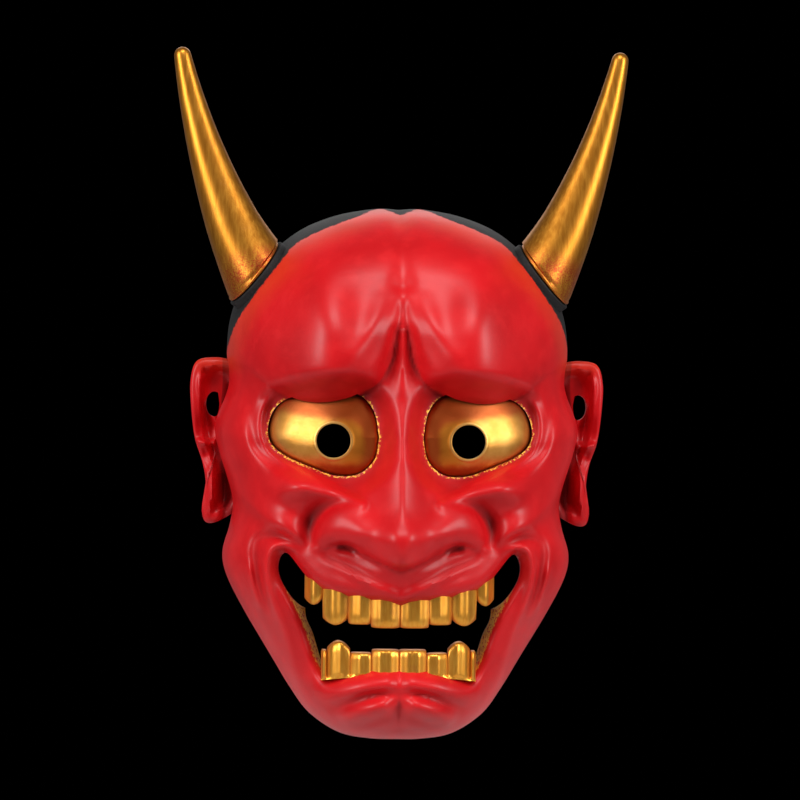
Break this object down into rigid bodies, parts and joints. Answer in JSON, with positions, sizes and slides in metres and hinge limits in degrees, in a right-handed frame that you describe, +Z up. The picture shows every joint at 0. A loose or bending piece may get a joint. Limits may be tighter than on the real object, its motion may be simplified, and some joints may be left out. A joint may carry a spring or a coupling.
{
  "type": "noh mask",
  "caption": "Horned demon noh mask: hollow red shell with ears, push-in gold horns, gold eye plates with see-through pupils, gold tooth bars and felt pads inside.",
  "frame": {"origin": "in the plane of the mask's rear rim, midway between the two strap holes", "axes": "+Z up the face to the horns, +Y out of the hollow side towards the wearer, so the face looks along -Y; +X to a viewer's right"},
  "size_m": [0.179, 0.0947, 0.2693],
  "materials": {
    "red_paint": "satin red lacquer over cast resin, with black painted hair at the crown",
    "horn_gold": "antique gold paint over cast resin, satin",
    "eye_gold": "gilded plate, satin, browned at the rim",
    "tooth_gold": "bright gold paint over cast resin",
    "felt": "black pressed felt"
  },
  "bodies": {
    "mask": {"mask_shell": "red_paint", "eye_left": "eye_gold", "eye_right": "eye_gold", "upper_teeth": "tooth_gold", "lower_teeth": "tooth_gold", "forehead_pad": "felt", "cheek_pad_left": "felt", "cheek_pad_right": "felt"},
    "left_horn": {"horn_left": "horn_gold"},
    "right_horn": {"horn_right": "horn_gold"}
  },
  "joints": [
    {"name": "horn_left_slide", "type": "slide", "parent": "mask", "child": "left_horn", "axis": [-0.776, -0.1736, 0.6063], "range_m": [0, 0.016]},
    {"name": "horn_right_slide", "type": "slide", "parent": "mask", "child": "right_horn", "axis": [0.776, -0.1736, 0.6063], "range_m": [0, 0.016]}
  ]
}
